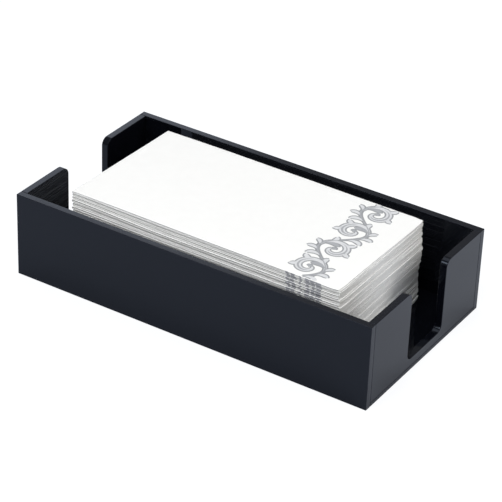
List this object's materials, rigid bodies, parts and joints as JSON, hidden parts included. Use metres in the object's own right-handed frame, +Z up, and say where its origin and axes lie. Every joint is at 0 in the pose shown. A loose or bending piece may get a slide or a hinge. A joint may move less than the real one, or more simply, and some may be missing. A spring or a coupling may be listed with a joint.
{
  "type": "napkin dispenser",
  "caption": "Open acrylic tray, notched at both ends for the fingers, holding a pile of folded guest napkins that lift out from the top.",
  "frame": {"origin": "centre of the tray's underside, on the counter that it rests on", "axes": "+X along the tray's length to the right end, +Y from the front to the back, +Z up"},
  "size_m": [0.27, 0.144, 0.0649],
  "materials": {
    "acrylic": "black cast acrylic sheet, polished faces, satin cut edges",
    "napkin": "matte, soft linen-feel paper with a pale grey printed border"
  },
  "bodies": {
    "tray": {"base_plate": "acrylic", "front_wall": "acrylic", "back_wall": "acrylic", "left_end_wall": "acrylic", "right_end_wall": "acrylic"},
    "napkin_01": {"napkin_01": "napkin"},
    "napkin_02": {"napkin_02": "napkin"},
    "napkin_03": {"napkin_03": "napkin"},
    "napkin_04": {"napkin_04": "napkin"},
    "napkin_05": {"napkin_05": "napkin"},
    "napkin_06": {"napkin_06": "napkin"},
    "napkin_07": {"napkin_07": "napkin"},
    "napkin_08": {"napkin_08": "napkin"},
    "napkin_09": {"napkin_09": "napkin"},
    "napkin_10": {"napkin_10": "napkin"},
    "napkin_11": {"napkin_11": "napkin"},
    "napkin_12": {"napkin_12": "napkin"},
    "napkin_13": {"napkin_13": "napkin"},
    "napkin_14": {"napkin_14": "napkin"},
    "napkin_15": {"napkin_15": "napkin"},
    "napkin_16": {"napkin_16": "napkin"},
    "napkin_17": {"napkin_17": "napkin"},
    "napkin_18": {"napkin_18": "napkin"},
    "napkin_19": {"napkin_19": "napkin"},
    "napkin_20": {"napkin_20": "napkin"},
    "napkin_21": {"napkin_21": "napkin"},
    "napkin_22": {"napkin_22": "napkin"},
    "napkin_23": {"napkin_23": "napkin"},
    "napkin_24": {"napkin_24": "napkin"},
    "napkin_25": {"napkin_25": "napkin"},
    "napkin_26": {"napkin_26": "napkin"},
    "napkin_27": {"napkin_27": "napkin"},
    "napkin_28": {"napkin_28": "napkin"}
  },
  "joints": [
    {"name": "napkin_01_lift", "type": "slide", "parent": "tray", "child": "napkin_01", "axis": [0, 0, 1], "range_m": [0, 0.0679]},
    {"name": "napkin_02_lift", "type": "slide", "parent": "napkin_01", "child": "napkin_02", "axis": [0, 0, 1], "range_m": [0, 0.0657]},
    {"name": "napkin_03_lift", "type": "slide", "parent": "napkin_02", "child": "napkin_03", "axis": [0, 0, 1], "range_m": [0, 0.0635]},
    {"name": "napkin_04_lift", "type": "slide", "parent": "napkin_03", "child": "napkin_04", "axis": [0, 0, 1], "range_m": [0, 0.0613]},
    {"name": "napkin_05_lift", "type": "slide", "parent": "napkin_04", "child": "napkin_05", "axis": [0, 0, 1], "range_m": [0, 0.0591]},
    {"name": "napkin_06_lift", "type": "slide", "parent": "napkin_05", "child": "napkin_06", "axis": [0, 0, 1], "range_m": [0, 0.0569]},
    {"name": "napkin_07_lift", "type": "slide", "parent": "napkin_06", "child": "napkin_07", "axis": [0, 0, 1], "range_m": [0, 0.0546]},
    {"name": "napkin_08_lift", "type": "slide", "parent": "napkin_07", "child": "napkin_08", "axis": [0, 0, 1], "range_m": [0, 0.0524]},
    {"name": "napkin_09_lift", "type": "slide", "parent": "napkin_08", "child": "napkin_09", "axis": [0, 0, 1], "range_m": [0, 0.0502]},
    {"name": "napkin_10_lift", "type": "slide", "parent": "napkin_09", "child": "napkin_10", "axis": [0, 0, 1], "range_m": [0, 0.048]},
    {"name": "napkin_11_lift", "type": "slide", "parent": "napkin_10", "child": "napkin_11", "axis": [0, 0, 1], "range_m": [0, 0.0458]},
    {"name": "napkin_12_lift", "type": "slide", "parent": "napkin_11", "child": "napkin_12", "axis": [0, 0, 1], "range_m": [0, 0.0436]},
    {"name": "napkin_13_lift", "type": "slide", "parent": "napkin_12", "child": "napkin_13", "axis": [0, 0, 1], "range_m": [0, 0.0414]},
    {"name": "napkin_14_lift", "type": "slide", "parent": "napkin_13", "child": "napkin_14", "axis": [0, 0, 1], "range_m": [0, 0.0392]},
    {"name": "napkin_15_lift", "type": "slide", "parent": "napkin_14", "child": "napkin_15", "axis": [0, 0, 1], "range_m": [0, 0.037]},
    {"name": "napkin_16_lift", "type": "slide", "parent": "napkin_15", "child": "napkin_16", "axis": [0, 0, 1], "range_m": [0, 0.0348]},
    {"name": "napkin_17_lift", "type": "slide", "parent": "napkin_16", "child": "napkin_17", "axis": [0, 0, 1], "range_m": [0, 0.0325]},
    {"name": "napkin_18_lift", "type": "slide", "parent": "napkin_17", "child": "napkin_18", "axis": [0, 0, 1], "range_m": [0, 0.0303]},
    {"name": "napkin_19_lift", "type": "slide", "parent": "napkin_18", "child": "napkin_19", "axis": [0, 0, 1], "range_m": [0, 0.03]},
    {"name": "napkin_20_lift", "type": "slide", "parent": "napkin_19", "child": "napkin_20", "axis": [0, 0, 1], "range_m": [0, 0.03]},
    {"name": "napkin_21_lift", "type": "slide", "parent": "napkin_20", "child": "napkin_21", "axis": [0, 0, 1], "range_m": [0, 0.03]},
    {"name": "napkin_22_lift", "type": "slide", "parent": "napkin_21", "child": "napkin_22", "axis": [0, 0, 1], "range_m": [0, 0.03]},
    {"name": "napkin_23_lift", "type": "slide", "parent": "napkin_22", "child": "napkin_23", "axis": [0, 0, 1], "range_m": [0, 0.03]},
    {"name": "napkin_24_lift", "type": "slide", "parent": "napkin_23", "child": "napkin_24", "axis": [0, 0, 1], "range_m": [0, 0.03]},
    {"name": "napkin_25_lift", "type": "slide", "parent": "napkin_24", "child": "napkin_25", "axis": [0, 0, 1], "range_m": [0, 0.03]},
    {"name": "napkin_26_lift", "type": "slide", "parent": "napkin_25", "child": "napkin_26", "axis": [0, 0, 1], "range_m": [0, 0.03]},
    {"name": "napkin_27_lift", "type": "slide", "parent": "napkin_26", "child": "napkin_27", "axis": [0, 0, 1], "range_m": [0, 0.03]},
    {"name": "napkin_28_lift", "type": "slide", "parent": "napkin_27", "child": "napkin_28", "axis": [0, 0, 1], "range_m": [0, 0.03]}
  ]
}
